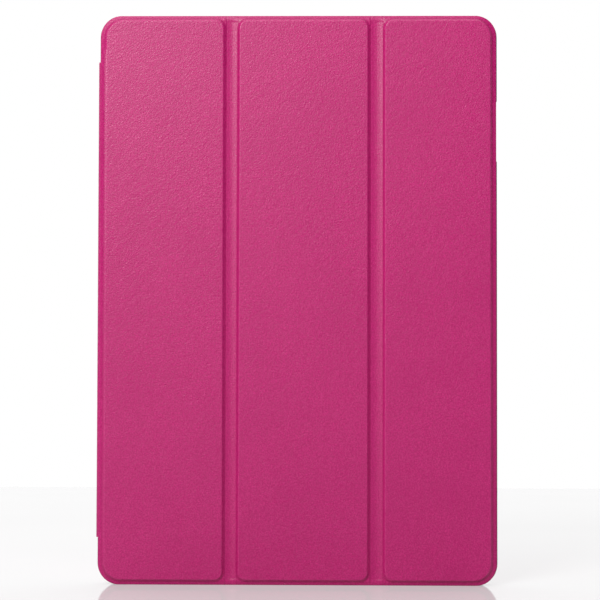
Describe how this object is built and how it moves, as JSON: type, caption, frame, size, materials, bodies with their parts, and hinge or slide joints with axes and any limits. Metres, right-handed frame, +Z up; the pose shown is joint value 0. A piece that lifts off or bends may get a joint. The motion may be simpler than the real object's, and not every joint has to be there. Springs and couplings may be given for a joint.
{
  "type": "tablet case",
  "caption": "Tri-fold folio case for a tablet: leather-look cover with raised panels and fold strips, spine strip and a hard tray with openings, which folds behind into a stand.",
  "frame": {"origin": "middle of the bottom of the bounding box, on the surface that the case stands on", "axes": "+Z up along the case's height, -Y towards the front cover's face, -X towards the spine"},
  "size_m": [0.1784, 0.0122, 0.2543],
  "materials": {
    "skin": "fine pebble grain, soft satin",
    "lining": "short brushed nap",
    "board": "matt",
    "shell": "fine matt texture",
    "steel": "rolled",
    "magnet": "nickel plated"
  },
  "bodies": {
    "back": {"back_shell": "shell", "back_skin": "skin", "back_lining": "lining"},
    "spine": {"spine_skin": "skin", "spine_core": "board", "spine_lining": "lining"},
    "panel_1": {"panel_1_skin": "skin", "panel_1_board": "board", "panel_1_lining": "lining", "steel_strip": "steel"},
    "fold_1": {"fold_1_skin": "skin", "fold_1_lining": "lining"},
    "panel_2": {"panel_2_skin": "skin", "panel_2_board": "board", "panel_2_lining": "lining"},
    "fold_2": {"fold_2_skin": "skin", "fold_2_lining": "lining"},
    "panel_3": {"panel_3_skin": "skin", "panel_3_board": "board", "panel_3_lining": "lining", "closure_magnets": "magnet", "wake_magnet": "magnet"}
  },
  "joints": [
    {"name": "rear_hinge", "type": "hinge", "parent": "back", "child": "spine", "pos_m": [-0.08925, 0.0041, 0.12715], "axis": [0, 0, -1], "range_deg": [0, 178]},
    {"name": "front_hinge", "type": "hinge", "parent": "spine", "child": "panel_1", "pos_m": [-0.08925, -0.003, 0.12715], "axis": [0, 0, -1], "range_deg": [0, 178]},
    {"name": "stand_crease_1", "type": "hinge", "parent": "panel_1", "child": "fold_1", "pos_m": [-0.03175, -0.0037, 0.12715], "axis": [0, 0, 1], "range_deg": [0, 122]},
    {"name": "lift_fold_1", "type": "hinge", "parent": "fold_1", "child": "panel_2", "pos_m": [-0.02655, -0.005, 0.12715], "axis": [0, 0, 1], "range_deg": [-120, 0]},
    {"name": "stand_crease_2", "type": "hinge", "parent": "panel_2", "child": "fold_2", "pos_m": [0.03285, -0.0037, 0.12715], "axis": [0, 0, 1], "range_deg": [0, 132.5]},
    {"name": "lift_fold_2", "type": "hinge", "parent": "fold_2", "child": "panel_3", "pos_m": [0.03835, -0.005, 0.12715], "axis": [0, 0, 1], "range_deg": [-130, 0]}
  ],
  "couplings": [
    {"joint": "stand_crease_1", "follows": "front_hinge", "ratio": 0.685},
    {"joint": "stand_crease_2", "follows": "front_hinge", "ratio": 0.744}
  ]
}
